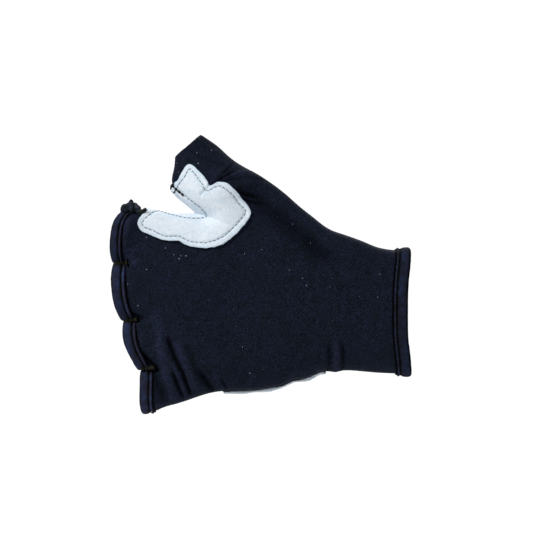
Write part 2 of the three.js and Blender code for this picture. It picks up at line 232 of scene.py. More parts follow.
def objectWave(material, pitch, turn):
    onePerUnit = 0.314  # a wave texture of this scale repeats once in a unit
    made = addNode(material, "ShaderNodeTexWave", Scale=onePerUnit / (pitch * mm), Distortion=1.5, Detail=1.0)
    made.inputs["Detail Scale"].default_value = 0.6
    join(material, objectPlace(material, turn), made.inputs["Vector"])
    return made.outputs["Fac"]


def meshValue(material, name):
    return addNode(material, "ShaderNodeAttribute", attribute_name=name).outputs["Fac"]


def knitMaterial():
    material, shader = newMaterial("stretchKnit", 0.9, 0.03)
    shader.inputs["Sheen Weight"].default_value = 0.025
    shader.inputs["Sheen Roughness"].default_value = 0.4
    shader.inputs["Sheen Tint"].default_value = (0.55, 0.68, 1.0, 1.0)
    grain = colourRamp(material, objectNoise(material, 0.6, 2.0), [
        (0.33, (0.0040, 0.0052, 0.0092)),
        (0.5, (0.0080, 0.0112, 0.0196)),
        (0.67, (0.0136, 0.0174, 0.0335)),
    ])
    patches = colourRamp(material, objectNoise(material, 3.6, 4.0), [
        (0.35, (0.80, 0.90, 0.80)), (0.65, (1.18, 1.06, 1.2)),
    ])
    # painted shade and highlight: the mesh says where its folds are, and hollows are painted darker, the deepest
    # nearly black, and crests lighter
    depth = colourRamp(material, meshValue(material, "fold"), [
        (0.0, (0.12, 0.12, 0.13)), (0.3, (0.5, 0.5, 0.52)), (0.5, (1.0, 1.0, 1.0)),
        (0.65, (1.38, 1.33, 1.42)), (0.8, (1.65, 1.58, 1.75)),
    ])
    colour = multiplied(material, multiplied(material, grain, patches), depth)
    join(material, colour, shader.inputs["Base Color"])
    pitch = 0.75  # mm, from one row of loops to the next
    loops = addNode(material, "ShaderNodeMath", operation="MULTIPLY")
    join(material, objectWave(material, pitch, (0, 45, 0)), loops.inputs[0])
    join(material, objectWave(material, pitch, (0, -45, 20)), loops.inputs[1])
    rough = addBump(material, shader, objectNoise(material, 0.5, 3.0), 0.25, 0.5)
    addBump(material, shader, loops.outputs["Value"], 0.16, 0.7, rough)
    return material


# The tape's tones run across its profile, from the ridge (0) to the lip: a painted shadow line at the edge, a painted
# highlight on the ridge, a groove black with thread and painted shade; the light factor paints them lighter or darker
# as light and shade
tape = {
    "black": (0.0008, 0.0009, 0.0012),
    # the ridge's lighter middle is a painted highlight along its crest
    "ridge": [
        (0.102, (0.0150, 0.0155, 0.0320)), (0.155, (0.0300, 0.0315, 0.0700)), (0.208, (0.0120, 0.0125, 0.0270)),
    ],
    "strip": [
        (0.340, (0.0150, 0.0175, 0.0375)), (0.385, (0.0190, 0.0225, 0.0520)),
        (0.440, (0.0190, 0.0225, 0.0520)), (0.475, (0.0050, 0.0060, 0.0150)),
    ],
    # edge: a painted black shadow line beside the fabric; groove: black for its thread and for painted shade; then
    # the row from which the painted light factor applies
    "edge": (0.0, 0.078), "groove": (0.235, 0.310), "paintedLightFrom": 0.09,
    "ribs": 31.4,
}


def tapeMaterial(name, paintedLight):
    material, shader = newMaterial(name, 0.9, 0.02)
    shader.inputs["Sheen Weight"].default_value = 0.01
    shader.inputs["Sheen Tint"].default_value = (0.5, 0.6, 1.0, 1.0)
    lay = addNode(material, "ShaderNodeUVMap", uv_map="lay")
    split = addNode(material, "ShaderNodeSeparateXYZ")
    join(material, lay.outputs["UV"], split.inputs["Vector"])
    edge, groove = ([(row, tape["black"]) for row in tape[part]] for part in ("edge", "groove"))
    tone = colourRamp(material, split.outputs["Y"], [
        (row, tuple(c * (k if row > tape["paintedLightFrom"] else 1) for c, k in zip(colour, paintedLight)))
        for row, colour in edge + tape["ridge"] + groove + tape["strip"]])
    mottle = colourRamp(material, objectNoise(material, 4.0, 4.0), [
        (0.36, (0.85, 0.75, 0.6)), (0.5, (1.0, 1.0, 0.95)), (0.58, (1.1, 1.2, 1.25)), (0.68, (1.25, 1.7, 2.1)),
    ])
    join(material, multiplied(material, tone, mottle), shader.inputs["Base Color"])
    ribs = addNode(material, "ShaderNodeTexWave", Scale=tape["ribs"], Distortion=1.0)
    join(material, lay.outputs["UV"], ribs.inputs["Vector"])
    rough = addBump(material, shader, objectNoise(material, 0.45, 3.0), 0.2, 0.6)
    addBump(material, shader, ribs.outputs["Fac"], 0.12, 0.5, rough)
    return material


def tailMaterial():
    material, shader = newMaterial("bunchedTape", 0.9, 0.04)
    tone = colourRamp(material, objectNoise(material, 2.0, 4.0), [
        (0.34, (0.0030, 0.0036, 0.0026)), (0.44, (0.0130, 0.0170, 0.0200)),
        (0.56, (0.0280, 0.0340, 0.0500)), (0.68, (0.048, 0.052, 0.070)),
    ])
    join(material, tone, shader.inputs["Base Color"])
    addBump(material, shader, objectNoise(material, 0.45, 3.0), 0.25, 0.6)
    return material


def suedeMaterial():
    material, shader = newMaterial("whiteSuede", 0.95, 0.1)
    shader.inputs["Sheen Weight"].default_value = 0.08
    shader.inputs["Sheen Roughness"].default_value = 0.6
    nap = objectNoise(material, 5.0, 5.0, (1, 1, 2.2), (0, -30, 0))
    colour = colourRamp(material, nap, [
        (0.25, (0.70, 0.80, 0.89)), (0.55, (0.78, 0.85, 0.92)), (0.8, (0.83, 0.88, 0.93)),
    ])
    specks = colourRamp(material, objectNoise(material, 0.8, 4.0), [
        (0.28, (0.78, 0.83, 0.86)), (0.42, (0.96, 0.97, 0.98)), (0.6, (1.06, 1.05, 1.04)),
    ])
    # the raw edge, the seams and the crease are bluer and darker: partly the leather's own tint, partly painted shade
    # in the seam and crease hollows and where the edge turns away; the mesh says how near they are
    tintAndShade = colourRamp(material, meshValue(material, "edgeTintAndShade"), [(0.0, (1.0, 1.0, 1.0)), (1.0, (0.79, 0.885, 0.955))])
    whole = multiplied(material, multiplied(material, colour, specks, 0.8), tintAndShade)
    join(material, whole, shader.inputs["Base Color"])
    fibres = addBump(material, shader, objectNoise(material, 0.5, 4.0, (1, 1, 2.6), (0, -35, 0)), 0.4, 0.8)
    addBump(material, shader, objectNoise(material, 1.8, 4.0), 0.4, 0.6, fibres)
    return material


def threadMaterial(name, colour, specular=0.2):
    material, shader = newMaterial(name, 0.6, specular)
    twist = objectWave(material, 0.35, (0, 35, 0))
    darker, lighter = (tuple(share * c for c in colour) for share in (0.6, 1.3))
    shade = colourRamp(material, twist, [(0.2, darker), (0.8, lighter)])
    join(material, shade, shader.inputs["Base Color"])
    addBump(material, shader, twist, 0.1, 0.6)
    return material


def finish(piece, material, slotName, *replaced):
    piece.data.materials.clear()
    piece.data.materials.append(material)
    activate(piece)
    bpy.ops.object.shade_smooth()
    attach(piece, "root")
    if replaced:
        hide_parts(*replaced)


knitCloth = knitMaterial()
# one tape in two copies: painted lighter as if lit for the fingers, painted darker as shade for the wrist
fingerTape = tapeMaterial("fingerTape", (1.15, 1.15, 1.05))
wristTape = tapeMaterial("wristTape", (0.76, 0.76, 0.66))
tailCloth = tailMaterial()
suede = suedeMaterial()
blackThread = threadMaterial("blackThread", (0.0095, 0.0135, 0.0125))
bandThread = threadMaterial("bandThread", (0.0085, 0.0105, 0.0068), 0.05)
# near black and without gloss: the cords that paint the shadow line at the forks
forkShadowThread = threadMaterial("forkShadowThread", (0.0010, 0.0010, 0.0012), 0.0)
tackThread = threadMaterial("tackThread", (0.0240, 0.0245, 0.0150), 0.08)
greyThread = threadMaterial("greyThread", (0.028, 0.038, 0.038))
lintWhite = threadMaterial("lintWhite", (0.34, 0.37, 0.45))
lintFaint = threadMaterial("lintFaint", (0.10, 0.12, 0.17))
print("materials ready")


# The knit: one smooth sheet from the frame's outer wall, with its folds, then given a wall

knitNodes = ("knit_shell", "thumb_sleeve")

knit = {
    "cutEdge": 70,  # degrees: any bend of the cloth itself is softer than its cut edges
    "quadAngle": 120,
    "levels": 2, "fitRounds": 3, "fitShare": 0.9,
    "wall": 1.1, "fullness": 0.35,
    "ripple": 0.1, "rippleSize": 12,
    "seamStart": (92.0, 43.3), "seamEnd": (69.4, 62.26), "seamGap": 0.3, "seamMerge": 0.9,
    # between two fingers: along and height of the fork's bottom
    "forks": [(125.7, 22.0), (121.5, -4.0), (113.5, -26.1)],
    # neighbouring fingers are squeezed together: how much, where most, half width, reach, and its run along them
    "squeeze": 1.5, "squeezeAt": 1.45, "squeezeWidth": 2.6, "squeezeReach": 9, "squeezeRun": (-2.5, 1.0),
    # the valley behind a fork is filled up: height, half width, reach, depths, and where it starts and ends
    "forkFill": 2.3, "fillWidth": 1.7, "fillReach": 6, "fillDepth": (2, 4),
    "fillStart": (-9, -1.5), "fillEnd": (1, 3),
    # the wrist edge bows out on the back, and both of its corners draw in
    "wristRun": (4, 40), "wristCurve": 1.5, "wristFront": (-6, 14), "wristHalf": 28,
    "wristCorner": 0.9, "cornerRun": (8, 28), "wristTop": 0.6, "topRun": (12, 24),
    # small moves that follow the photograph's outline: along, height, reach, then the move itself
    "nudges": [
        (62.5, 58.5, 9, 0, 0.45), (97, -38, 12, 0, -0.35), (73, -35, 9, 0, -0.3), (44.6, -29, 5, 0, -0.5),
        (20, -26, 12, 0, -0.3), (105.5, 60.5, 6, 0.6, 0), (94, 79, 3.5, 0, 0.5), (118, -44.6, 5, 0, -0.8),
        (117.5, 44.5, 5.5, 0, 1.3), (92, 43.5, 6, -2.2, -0.9), (98.5, 44.5, 4, 0, -0.4), (106, 45.5, 5.5, 0, -0.8),
        (52.6, -31, 3.2, 0, 0.8), (40.5, -27.5, 3, 0, 0.8), (32.9, -26.4, 2.6, 0, -0.6),
        (127, -7.5, 4.5, -0.8, 0), (121.3, -33, 5, -0.4, 0), (134, 19, 6, -0.35, 0), (131.5, 3, 5, 0.4, 0),
        (133, 39, 5, 0.35, 0.2), (110, -42.5, 5, 0, 0.35), (17, 30, 10, 0, -0.3),
    ],
    # each fold runs through its points (along, height), then its half width and its rise
    "folds": [
        ([(107.2, -13.4), (105.0, -19.8), (101.3, -27.0), (98.9, -34.2)], 0.9, -1.25),
        ([(105.0, -29.0), (102.4, -35.8)], 0.8, -1.1),
        ([(92.0, -29.2), (88.8, -34.2)], 1.2, -1.1),
        ([(83.6, -31.6), (81.8, -34.3)], 0.6, -0.8),
        ([(85.6, -29.5), (83.2, -34.6)], 0.6, 0.5),
        ([(112.0, -5.4), (110.2, -17.1), (110.1, -24.5), (107.4, -32.7), (106.1, -38.2)], 2.0, 0.75),
        ([(103.3, -15.3), (99.2, -23.6), (96.5, -31.8)], 1.6, 0.6),
        ([(106.1, -23.6), (102.9, -29.1), (99.7, -37.3)], 0.7, 0.55),
        ([(98.3, -17.7), (94.2, -27.2)], 1.2, -0.35),
        ([(113.5, -29.5), (109.5, -37.0)], 1.8, -0.4),
        ([(89.6, 57.6), (83.5, 59.9), (79.0, 61.9), (70.5, 63.2)], 0.6, 0.4),
        ([(84.8, 59.5), (80.6, 61.8)], 0.6, -1.3),
        ([(86.0, 62.2), (78.0, 66.4)], 0.8, 0.35),
        ([(82.6, 63.1), (80.0, 65.4)], 0.5, -1.0),
        ([(82.0, 58.9), (72.0, 60.2), (66.0, 59.0)], 1.1, -0.5),
        ([(75.6, 53.2), (73.0, 52.2), (70.8, 51.7)], 0.9, -0.85),
        ([(74.6, 51.7), (69.0, 50.0)], 0.6, 0.4),
        ([(74.2, 50.2), (70.5, 49.1), (68.0, 48.8)], 0.8, -0.65),
        ([(94.3, 79.0), (89.7, 75.4), (87.6, 74.3)], 0.45, -0.3),
        # a broad low crest beside the index band, which the material paints lighter: a painted pool of light
        ([(125.6, 38.0), (124.6, 26.0)], 3.2, 0.6),
        ([(66.0, 49.0), (54.0, 39.0), (40.0, 27.0)], 5.0, -0.55),
        ([(72.0, 59.0), (54.0, 47.0), (38.0, 33.0)], 4.0, 0.3),
        ([(36.3, -16.0), (36.0, -27.5)], 1.0, -0.6),
        ([(32.9, -15.5), (33.2, -28.0)], 0.85, 0.85),
        ([(30.4, -16.0), (30.2, -27.0)], 0.8, -0.7),
        ([(100.5, 74.0), (93.8, 69.5), (86.0, 66.5)], 0.6, -0.3),
        # the cloth drawn up behind the upper fork, painted lighter as a highlight, and the deep creases beside the
        # two lower ones, painted nearly black as shade
        ([(126.2, 22.2), (124.6, 22.2)], 0.7, 0.5),
        ([(119.0, -19.6), (116.2, -22.1), (114.8, -23.4)], 1.15, -1.6),
        ([(124.3, -0.9), (122.3, -1.7)], 0.85, -1.5),
    ],
    # past its ends a fold fades over this and its own width; nothing further off than the reach counts
    "foldFade": 1.8, "foldReach": 9,
    # how strongly fold heights become painted shade and highlight in the knit's colour
    "foldShadeTone": 0.4,
    # the mesh is refined along folds narrower than this, out to so many half widths and so far past the ends
    "fineFold": 2.5, "fineReach": 2.6, "finePast": 3,
}


# How far a point lies off a line through some points, and how far it runs past the line's ends
def offLine(along, height, points):
    best, beyond = 1e9, 0.0
    last = len(points) - 2
    for i in range(last + 1):
        (a0, h0), (a1, h1) = points[i], points[i + 1]
        runA, runH = a1 - a0, h1 - h0
        span = runA * runA + runH * runH
        t = ((along - a0) * runA + (height - h0) * runH) / span
        held = min(max(t, 0.0), 1.0)
        off = math.hypot(along - a0 - runA * held, height - h0 - runH * held)
        if off < best:
            best = off
            over = -t if (i == 0 and t < 0) else t - 1 if (i == last and t > 1) else 0.0
            beyond = over * math.sqrt(span)
            if over:
                best = abs((along - a0) * runH - (height - h0) * runA) / math.sqrt(span)
    return best, beyond


def foldRise(place):
    along, height = -place.x / mm, place.z / mm
    reach = knit["foldReach"]
    rise = 0.0
    for points, width, amount in knit["folds"]:
        (a0, h0), (a1, h1) = points[0], points[-1]
        beside = min(a0, a1) - reach < along < max(a0, a1) + reach
        if beside and min(h0, h1) - reach < height < max(h0, h1) + reach:
            off, beyond = offLine(along, height, points)
            rise += amount * math.exp(-(off / width) ** 2 - (beyond / (knit["foldFade"] + width)) ** 2)
    return rise * mm


# Folds are only on the back: they fade out where the cloth turns away
def backShare(normal):
    return min(max(-normal.y * 2, 0.0), 1.0)


# Writes the height of the folds for the material, which paints shade into the hollows and highlights onto the crests:
# 0.5 is flat cloth, less is a hollow, more a crest
def markFolds(piece):
    values = piece.data.attributes.new("fold", "FLOAT", "POINT")
    for vertex in piece.data.vertices:
        rise = foldRise(vertex.co) * backShare(vertex.normal) / mm
        values.data[vertex.index].value = min(max(0.5 + knit["foldShadeTone"] * rise, 0.0), 1.0)


def knitRise(place, normal):
    ripple = noise.fractal(place / (knit["rippleSize"] * mm), 1.0, 2.0, 2) * knit["ripple"] * mm
    return foldRise(place) * backShare(normal) + ripple


# Pulls neighbouring sleeves together at the forks, curves the wrist edge and follows the nudges
def warped(place):
    along, height, deep = -place.x / mm, place.z / mm, abs(place.y) / mm
    fill = 0.0
    for forkAlong, forkHeight in knit["forks"]:
        off = height - forkHeight
        if abs(off) < knit["fillReach"]:
            inFork = smoothOver(along, knit["fillStart"], forkAlong)
            inFork *= 1 - smoothOver(along, knit["fillEnd"], forkAlong)
            most = knit["forkFill"] * math.exp(-(off / knit["fillWidth"]) ** 2)
            fill += most * inFork * smoothOver(deep, knit["fillDepth"])
        if abs(off) < knit["squeezeReach"]:
            near = math.exp(-((abs(off) - knit["squeezeAt"]) / knit["squeezeWidth"]) ** 2)
            near *= min(1.0, abs(off) / knit["squeezeAt"])
            height -= math.copysign(knit["squeeze"], off) * near * smoothOver(along, knit["squeezeRun"], forkAlong)
    atWrist = 1 - smoothOver(along, knit["wristRun"])
    front = smoothOver(-place.y / mm, knit["wristFront"])
    rim = min(abs(height) / knit["wristHalf"], 1.2)
    along += atWrist * (knit["wristCurve"] * front * (1 - rim**2)
                        - knit["wristCorner"] * smoothOver(-height, knit["cornerRun"])
                        - knit["wristTop"] * smoothOver(height, knit["topRun"]))
    for nudgeAlong, nudgeHeight, reach, moveAlong, moveHeight in knit["nudges"]:
        near = math.exp(-((-place.x / mm - nudgeAlong) ** 2 + (place.z / mm - nudgeHeight) ** 2) / reach**2)
        along += moveAlong * near
        height += moveHeight * near
    return Vector((-along * mm, place.y + math.copysign(fill * mm, place.y), height * mm))


# Moves the coarse points until the smooth surface goes through where they first were
def subdivideThrough(sheet, levels, rounds):
    aims = [vertex.co.copy() for vertex in sheet.data.vertices]
    for i in range(rounds):
        twin = copyOf(sheet, "fitTwin")
        applyModifier(twin, "SUBSURF", levels=levels, render_levels=levels)
        for vertex, aim in zip(sheet.data.vertices, aims):
            vertex.co += (aim - twin.data.vertices[vertex.index].co) * knit["fitShare"]
        bpy.data.objects.remove(twin)
    applyModifier(sheet, "SUBSURF", levels=levels, render_levels=levels)


def refineAlongFolds(sheet):
    clearSelection(sheet)
    for face in sheet.data.polygons:
        along, height = -face.center.x / mm, face.center.z / mm
        close = False
        if face.normal.y < 0.1:
            for points, width, amount in knit["folds"]:
                off, beyond = offLine(along, height, points)
                beside = off < knit["fineReach"] * width and beyond < knit["finePast"]
                close = close or (width < knit["fineFold"] and beside)
        face.select = close
    enterEdit()
    bpy.ops.mesh.subdivide(number_cuts=1, smoothness=0.0)
    leaveEdit()


# The glove's body and its thumb sleeve as one mesh, with the seam between them closed
def wholeKnit():
    parts = []
    for name in knitNodes:
        part = bpy.data.objects.new("knitSheet", nodes[name].data.copy())
        bpy.context.scene.collection.objects.link(part)
        parts.append(part)
    whole = joinAll(parts)
    editAll(whole)
    bpy.ops.mesh.remove_doubles(threshold=0.001 * mm)
    bpy.ops.mesh.select_all(action="DESELECT")
    leaveEdit()
    start, end = (spot(*knit[key]) for key in ("seamStart", "seamEnd"))
    onward, length = (end - start).normalized(), (end - start).length
    across = onward.cross(Vector((0, 1, 0)))
    near, past = 0.01 * mm, 2 * mm  # how far a point may lie off the seam's faces and past its ends
    onSeam = [abs(abs((vertex.co - start).dot(across)) - knit["seamGap"] / 2 * mm) < near
              and -past < (vertex.co - start).dot(onward) < length + past
              for vertex in whole.data.vertices]
    for face in whole.data.polygons:
        face.select = all(onSeam[v] for v in face.vertices)
    enterEdit()
    bpy.ops.mesh.delete(type="ONLY_FACE")
    bpy.ops.mesh.select_mode(type="VERT")
    leaveEdit()
    for vertex in whole.data.vertices:
        vertex.select = onSeam[vertex.index]
    enterEdit()
    bpy.ops.mesh.remove_doubles(threshold=knit["seamMerge"] * mm)
    bpy.ops.mesh.select_all(action="SELECT")
    bpy.ops.mesh.delete_loose()
    bpy.ops.mesh.select_mode(type="FACE")
    bpy.ops.mesh.select_all(action="DESELECT")
    leaveEdit()
    return whole


def makeKnitSheet():
    sheet = wholeKnit()
    min(sheet.data.polygons, key=lambda face: face.center.y).select = True
    enterEdit()
    bpy.ops.mesh.faces_select_linked_flat(sharpness=math.radians(knit["cutEdge"]))
    bpy.ops.mesh.select_all(action="INVERT")
    bpy.ops.mesh.delete(type="FACE")
    bpy.ops.mesh.select_all(action="SELECT")
    bpy.ops.mesh.fill_holes(sides=6)
    bpy.ops.mesh.select_all(action="SELECT")
    widest = math.radians(knit["quadAngle"])
    bpy.ops.mesh.tris_convert_to_quads(face_threshold=widest, shape_threshold=widest)
    leaveEdit()
    subdivideThrough(sheet, knit["levels"], knit["fitRounds"])
    moveAlongNormals(sheet, lambda place, normal: knit["fullness"] * mm)
    for vertex in sheet.data.vertices:
        vertex.co = warped(vertex.co)
    sheet.data.update()
    return sheet


smoothSheet = makeKnitSheet()
knitSheet = copyOf(smoothSheet, "knitFoldedSheet")
refineAlongFolds(knitSheet)
moveAlongNormals(knitSheet, knitRise)
markFolds(knitSheet)
knitBody = copyOf(knitSheet, "knitBody")
applyModifier(knitBody, "SOLIDIFY", thickness=knit["wall"] * mm, offset=-1.0, use_even_offset=False)
finish(knitBody, knitCloth, "knit", *knitNodes)
print("knit done", len(knitBody.data.polygons))


# Open edges of the sheet, each a ring of (point, outward normal), named by where it lies

def openRings(sheet):
    uses = {}
    for face in sheet.data.polygons:
        for key in face.edge_keys:
            uses[key] = uses.get(key, 0) + 1
    beside = {}
    for (a, b), count in uses.items():
        if count == 1:
            beside.setdefault(a, []).append(b)
            beside.setdefault(b, []).append(a)
    rings = []
    while beside:
        start = next(iter(beside))
        ring, before, here = [], None, start
        while True:
            ring.append(here)
            onward = [v for v in beside[here] if v != before]
            before, here = here, onward[0]
            if here == start:
                break
        for v in ring:
            del beside[v]
        rings.append([(sheet.data.vertices[v].co.copy(), sheet.data.vertices[v].normal.copy()) for v in ring])
    return rings


def middleOf(ring):
    return sum((point for point, normal in ring), Vector()) / len(ring)


fingerTips = -0.11  # the finger rings all lie beyond this
rings = openRings(smoothSheet)
wristRing = max(rings, key=lambda ring: middleOf(ring).x)
fingerRings = sorted((ring for ring in rings if middleOf(ring).x < fingerTips), key=lambda ring: -middleOf(ring).z)
fingerNames = ["index", "middle", "ring", "little"]


# Bands: folded tape round an edge. The profile runs from the ridge beside the fabric, over the
# stitched groove and the strip, round the lip and back inside. Each pair is the distance into the
# glove from the knit's edge and the height over the knit, in mm.

band = {
    "profile": [
        (4.5, -0.2), (4.4, 0.42), (3.72, 0.48),
        (3.55, 0.62), (3.36, 0.94), (3.05, 1.08), (2.8, 0.92), (2.65, 0.5),
        (2.5, 0.28), (2.25, 0.24), (2.0, 0.3),
        (1.87, 0.7), (1.4, 1.08), (0.5, 1.27), (-0.2, 1.25), (-0.8, 1.0), (-1.2, 0.5),
        (-1.3, -0.2), (-1.2, -0.95), (-0.85, -1.65), (-0.1, -2.15), (1.0, -2.4), (2.6, -2.45), (4.1, -2.4),
        (4.45, -2.0), (4.1, -1.6), (2.6, -1.5), (0.8, -1.45), (-0.2, -1.35), (-0.45, -0.6), (-0.2, 0.05),
        (1.5, 0.02), (3.4, -0.1),
    ],
    # how much wider than the profile the strip and the ridge of each band are
    "wider": {
        "index": (0.0, 0.0), "middle": (0.8, 0.5), "ring": (0.65, 0.35), "little": (0.5, 0.3), "wrist": (1.4, 0.0),
    },
    "stripEnd": 1.87, "ridgeRun": (2.5, 3.6),
    # the wrist's lip is darker: from this point of the profile its tones lie so much further on
    "darkLip": 14, "lipShift": 0.9,
    "patternRun": 10,  # mm round the edge to one unit of the lay map
    "pucker": 0.07, "puckerSizes": (2.2, 7),
    # a band that lies nearer than this to a fork stays on its own side of it
    "forkReach": 30, "forkGap": 0.05,
    "stitchAlong": 2.27, "stitchRise": 0.42, "stitchPitch": 1.5,
    "stitchSize": (1.25, 0.5, 0.4), "stitchLean": 0.15, "stitchTurn": 0.12,
}


def outwardOf(normal):
    return Vector((0.0, normal.y, normal.z)).normalized()


# Neighbouring bands lie flat against each other at the forks
def heldByForks(place, middle):
    for forkAlong, forkHeight in knit["forks"]:
        edge, gap = forkHeight * mm, band["forkGap"] * mm
        if abs(middle - edge) < band["forkReach"] * mm:
            place.z = max(place.z, edge + gap) if middle > edge else min(place.z, edge - gap)
    return place


def widened(name, along):
    strip, ridge = band["wider"][name]
    return along + strip * min(max(along / band["stripEnd"], 0.0), 1.0) + ridge * smoothOver(along, band["ridgeRun"])


def puckered(place, normal):
    small, large = (noise.noise(place / (size * mm)) * band["pucker"] for size in band["puckerSizes"])
    return (small + large * 1.5) * mm


# The lay map: u runs round the edge and v across the profile
def mapBand(name, piece, ring):
    count, steps = len(ring), len(band["profile"])
    uv = piece.data.uv_layers.new(name="lay")
    girth = sum((ring[i][0] - ring[i - 1][0]).length for i in range(count)) / mm
    for face in piece.data.polygons:
        around = [v % count for v in face.vertices]
        wraps = 0 in around and count - 1 in around
        for corner, v in zip(face.loop_indices, face.vertices):
            u = v % count + (count if wraps and v % count == 0 else 0)
            row = v // count + (band["lipShift"] if name == "wrist" and v // count >= band["darkLip"] else 0)
            uv.data[corner].uv = (u / count * girth / band["patternRun"], row / steps)


def makeBand(name, ring, inward, levels):
    count, profile = len(ring), band["profile"]
    bpy.ops.object.select_all(action="DESELECT")
    bpy.ops.mesh.primitive_circle_add(vertices=count, radius=0.01, fill_type="NOTHING")
    piece = bpy.context.object
    piece.name = name + "Band"
    editAll(piece, "EDGE")
    for i in range(len(profile) - 1):
        bpy.ops.mesh.extrude_edges_move(TRANSFORM_OT_translate={"value": (0, 0, mm)})
    leaveEdit()
    middle = middleOf(ring).z
    for vertex in piece.data.vertices:
        point, normal = ring[vertex.index % count]
        along, rise = profile[vertex.index // count]
        vertex.co = point + inward * widened(name, along) * mm + outwardOf(normal) * rise * mm
        if name != "wrist":
            vertex.co = heldByForks(vertex.co, middle)
    mapBand(name, piece, ring)
    clearSelection(piece, "EDGE")
    # the first and the last row of the profile are bridged, which closes the band
    first, last = range(count), range(count * (len(profile) - 1), count * len(profile))
    for edge in piece.data.edges:
        a, b = edge.vertices
        edge.select = (a in first and b in first) or (a in last and b in last)
    enterEdit()
    bpy.ops.mesh.bridge_edge_loops()
    bpy.ops.mesh.select_all(action="SELECT")
    bpy.ops.mesh.normals_make_consistent(inside=False)
    leaveEdit()
    applyModifier(piece, "SUBSURF", levels=levels, render_levels=levels)
    moveAlongNormals(piece, puckered)
    finish(piece, wristTape if name == "wrist" else fingerTape, "binding", name + "_binding")
    return piece


# Threads: one stitch is modelled and copied, each copy laid along its own direction

def wavering(amount):
    return random.uniform(-amount, amount)


def makeStitches(name, places, material, slotName):
    bpy.ops.object.select_all(action="DESELECT")
    bpy.ops.mesh.primitive_uv_sphere_add(segments=8, ring_count=6, radius=0.5)
    model = bpy.context.object
    model.name = name + "Model"
    made = []
    for point, run, normal, length, width, height in places:
        side = normal.cross(run).normalized()
        up = run.cross(side).normalized()
        turn = Matrix((run.normalized(), side, up)).transposed().to_4x4()
        size = Matrix.Diagonal((length * mm, width * mm, height * mm, 1.0))
        copy = copyOf(model, name)
        copy.data.transform(Matrix.Translation(point) @ turn @ size)
        made.append(copy)
    bpy.data.objects.remove(model)
    finish(joinAll(made), material, slotName)


def bandStitches(name, ring, inward):
    points = softCurve([tuple(point + outwardOf(normal) * band["stitchRise"] * mm) for point, normal in ring],
                       band["stitchPitch"] * mm)
    middle = middleOf(ring)
    along = widened(name, band["stitchAlong"])
    places = []
    for i, point in enumerate(points):
        run = (points[(i + 1) % len(points)] - points[i - 1]).normalized()
        outward = outwardOf(point - middle)
        lean = inward * wavering(band["stitchLean"]) * mm
        turned = run + inward * wavering(band["stitchTurn"])
        places.append((point + inward * along * mm + lean, turned, outward, *band["stitchSize"]))
    makeStitches(name + "BandStitches", places, bandThread, "binding")


towardsWrist = Vector((1, 0, 0))
bands = {}
for fingerName, ring in zip(fingerNames, fingerRings):
    bands[fingerName] = makeBand(fingerName, ring, towardsWrist, 2)
    bandStitches(fingerName, ring, towardsWrist)
bands["wrist"] = makeBand("wrist", wristRing, -towardsWrist, 1)
bandStitches("wrist", wristRing, -towardsWrist)
print("bands done")


# Leather: cut out of a thick layer over the knit, remeshed, then shaped by its stitches

leather = {
    "clear": 0.25,  # between the leather and the knit
    "foldShare": 0.6,  # the share of the knit's folds that shows in the leather
    # the cut edge: its points, how far the cutter reaches to each side, and each wander's height, seed and size
    "cutSpacing": 0.45, "cutReach": 45, "cutWander": [(0.2, 3, 1.7), (0.1, 9, 0.7)],
    # how much bluer and darker the raw edge and the seams are, partly own tint and partly painted shade, and how wide
    "rimTintAndShade": (1.0, 0.55), "seamTintAndShade": (0.8, 0.6),
    "topstitch": {"dash": 1.9, "gap": 0.05, "size": (0.34, 0.3)},
}

# The dips are the depth and half width that a seam presses into the leather, in mm
web = {
    "thickness": 1.2, "voxel": 0.3, "smooth": 2,
    "seamDip": (0.42, 0.75), "creaseDip": (0.75, 0.85), "heavyDip": (0.3, 0.9),
    "uneven": [(0.08, 0.7), (0.09, 2.6), (0.08, 9)],
    "heavyStitch": {"dash": 2.4, "gap": -0.4, "size": (1.25, 1.0), "wobble": 0.05},
    "outline": [
        (99.2, 66.4), (97.2, 65.8), (94.8, 63.6), (92.4, 61.1), (90.6, 58.7), (89.3, 56.6), (87.2, 57.4),
        (84.9, 58.1), (82.0, 57.7), (79.4, 55.7), (76.9, 53.3), (75.2, 50.8), (72.8, 48.2), (71.0, 44.9),
        (71.7, 42.1), (73.9, 38.9), (77.3, 35.2), (80.7, 32.2), (84.2, 30.0), (88.2, 29.0), (91.8, 28.6),
        (96.8, 29.3), (100.7, 30.5), (103.2, 32.0), (107.9, 32.0), (111.3, 32.7), (116.1, 34.6), (119.7, 36.2),
        (121.4, 38.5), (121.6, 40.6), (120.1, 43.4), (117.4, 46.2), (117.5, 51.0), (112.0, 52.5), (109.0, 55.0),
        (107.0, 57.0), (103.8, 59.2), (102.8, 61.7), (101.2, 64.2),
    ],
    "topstitch": [
        (98.4, 63.9), (100.4, 61.1), (102.3, 58.6), (104.1, 55.7), (102.6, 53.4), (99.6, 51.2), (96.8, 49.1),
        (94.2, 47.1), (92.1, 45.0), (90.9, 43.3), (92.4, 42.3), (96.0, 42.1), (100.4, 42.3), (103.2, 43.0),
        (107.5, 44.0), (110.7, 45.0), (112.5, 45.5), (114.7, 44.8), (117.9, 42.4), (119.5, 40.1), (118.6, 38.1),
        (115.1, 36.7), (111.5, 34.9), (107.9, 33.9), (103.6, 34.0), (100.4, 32.7), (97.5, 31.5), (92.8, 31.0),
        (88.2, 31.6), (83.8, 33.5), (80.2, 36.4), (76.7, 39.9), (74.0, 43.2), (73.5, 45.3), (76.0, 48.2),
        (78.8, 51.8), (82.0, 54.5), (84.9, 56.2), (87.4, 55.4), (90.3, 54.2), (91.6, 55.0), (92.6, 57.0),
        (94.1, 59.0), (96.0, 61.6),
    ],
    "crease": [(89.2, 56.9), (91.2, 54.6), (93.3, 52.4)],
    "heavy": [(105.9, 56.4), (103.6, 54.2), (101.0, 52.0)],
}


